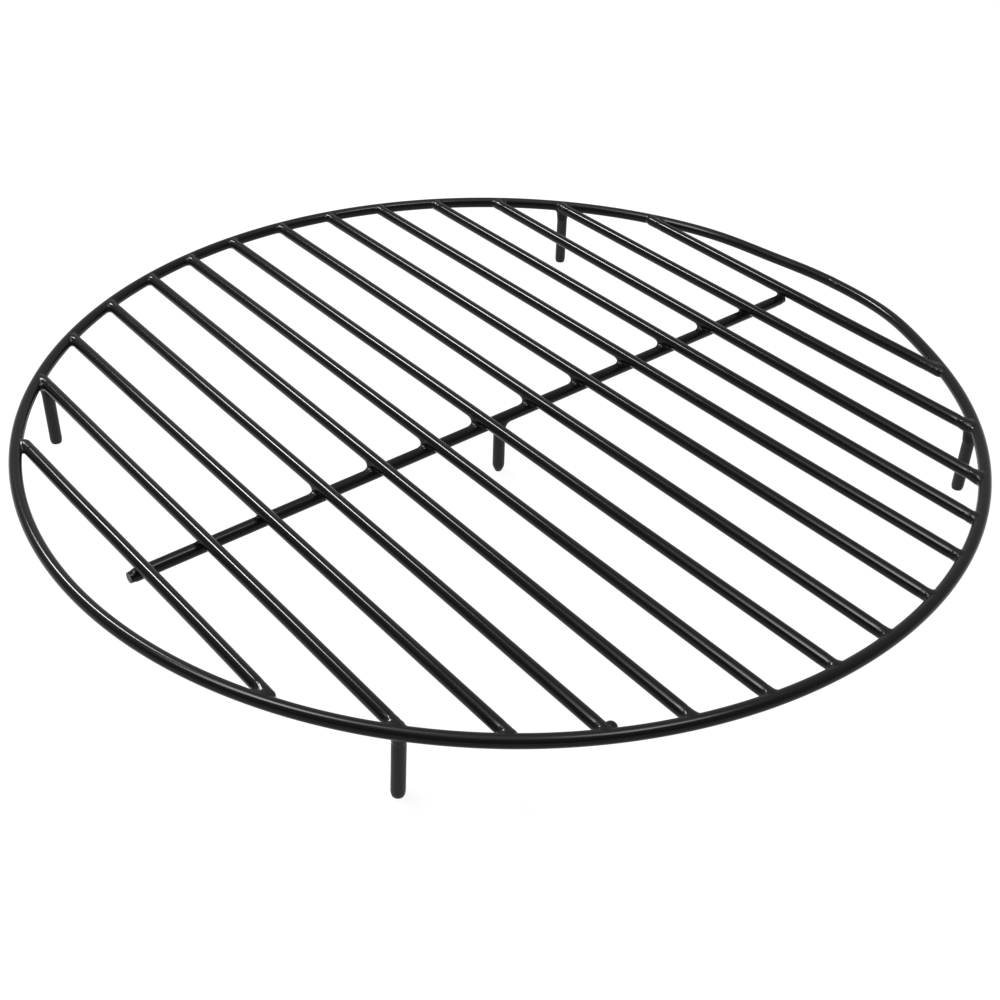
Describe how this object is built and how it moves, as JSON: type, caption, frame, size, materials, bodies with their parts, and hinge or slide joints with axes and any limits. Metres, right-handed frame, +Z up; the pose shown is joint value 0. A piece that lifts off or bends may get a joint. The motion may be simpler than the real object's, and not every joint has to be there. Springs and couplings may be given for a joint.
{
  "type": "fire grate",
  "caption": "Round welded grate of parallel steel bars in a ring on short legs. It holds logs clear of a fire pit's floor, so air reaches the fire and ash falls through.",
  "frame": {"origin": "on the ground, under the centre of the ring", "axes": "+X along the bars, +Y along the cross bar from bar 1 to bar 14, +Z up"},
  "size_m": [0.762, 0.7624, 0.0643],
  "materials": {
    "bar_coating": "gloss black heat-resistant coating on hot-rolled steel rod",
    "ring_coating": "satin to gloss black heat-resistant coating on bent steel rod",
    "leg_coating": "satin black heat-resistant coating on sheared steel rod",
    "weld_coating": "black heat-resistant coating over as-laid weld beads"
  },
  "bodies": {
    "root": {"ring": "ring_coating", "ring_seam_weld": "weld_coating", "bar_01": "bar_coating", "bar_02": "bar_coating", "bar_03": "bar_coating", "bar_04": "bar_coating", "bar_05": "bar_coating", "bar_06": "bar_coating", "bar_07": "bar_coating", "bar_08": "bar_coating", "bar_09": "bar_coating", "bar_10": "bar_coating", "bar_11": "bar_coating", "bar_12": "bar_coating", "bar_13": "bar_coating", "bar_14": "bar_coating", "cross_bar": "bar_coating", "leg_front": "leg_coating", "leg_left": "leg_coating", "leg_right": "leg_coating", "leg_rear": "leg_coating", "leg_centre": "leg_coating", "bar_end_welds_01": "weld_coating", "bar_end_welds_02": "weld_coating", "bar_end_welds_03": "weld_coating", "bar_end_welds_04": "weld_coating", "bar_end_welds_05": "weld_coating", "bar_end_welds_06": "weld_coating", "bar_end_welds_07": "weld_coating", "bar_end_welds_08": "weld_coating", "bar_end_welds_09": "weld_coating", "bar_end_welds_10": "weld_coating", "bar_end_welds_11": "weld_coating", "bar_end_welds_12": "weld_coating", "bar_end_welds_13": "weld_coating", "bar_end_welds_14": "weld_coating", "cross_bar_weld_01": "weld_coating", "cross_bar_weld_02": "weld_coating", "cross_bar_weld_03": "weld_coating", "cross_bar_weld_04": "weld_coating", "cross_bar_weld_05": "weld_coating", "cross_bar_weld_06": "weld_coating", "cross_bar_weld_07": "weld_coating", "cross_bar_weld_08": "weld_coating", "cross_bar_weld_09": "weld_coating", "cross_bar_weld_10": "weld_coating", "cross_bar_weld_11": "weld_coating", "cross_bar_weld_12": "weld_coating", "cross_bar_weld_13": "weld_coating", "cross_bar_weld_14": "weld_coating", "leg_front_weld": "weld_coating", "leg_left_weld": "weld_coating", "leg_right_weld": "weld_coating", "leg_rear_weld": "weld_coating", "leg_centre_weld": "weld_coating"}
  },
  "joints": []
}
